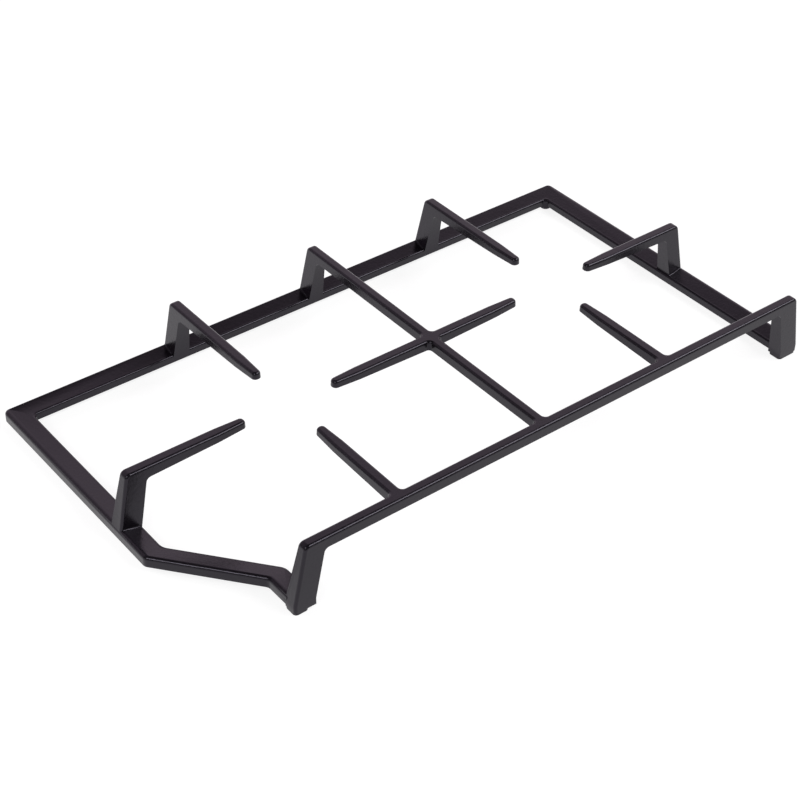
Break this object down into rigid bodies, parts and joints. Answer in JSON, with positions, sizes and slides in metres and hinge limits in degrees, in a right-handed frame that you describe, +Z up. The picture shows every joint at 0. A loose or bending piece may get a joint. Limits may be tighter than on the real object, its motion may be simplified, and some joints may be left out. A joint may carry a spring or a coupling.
{
  "type": "hob pan support",
  "caption": "Cast pan support for one side of a gas hob: flat open frame with a cut-away corner, raised bars and inward fingers that hold pans over the burners.",
  "frame": {"origin": "centre of the plan box at the level of the hob plate the feet rest on", "axes": "+X along the long side, away from the cut-away corner; +Y from the raised front bar to the flat back bar; +Z up"},
  "size_m": [0.47, 0.2556, 0.048],
  "materials": {
    "enamelled_iron": "satin black vitreous enamel"
  },
  "bodies": {
    "root": {"pan_support": "enamelled_iron"}
  },
  "joints": []
}
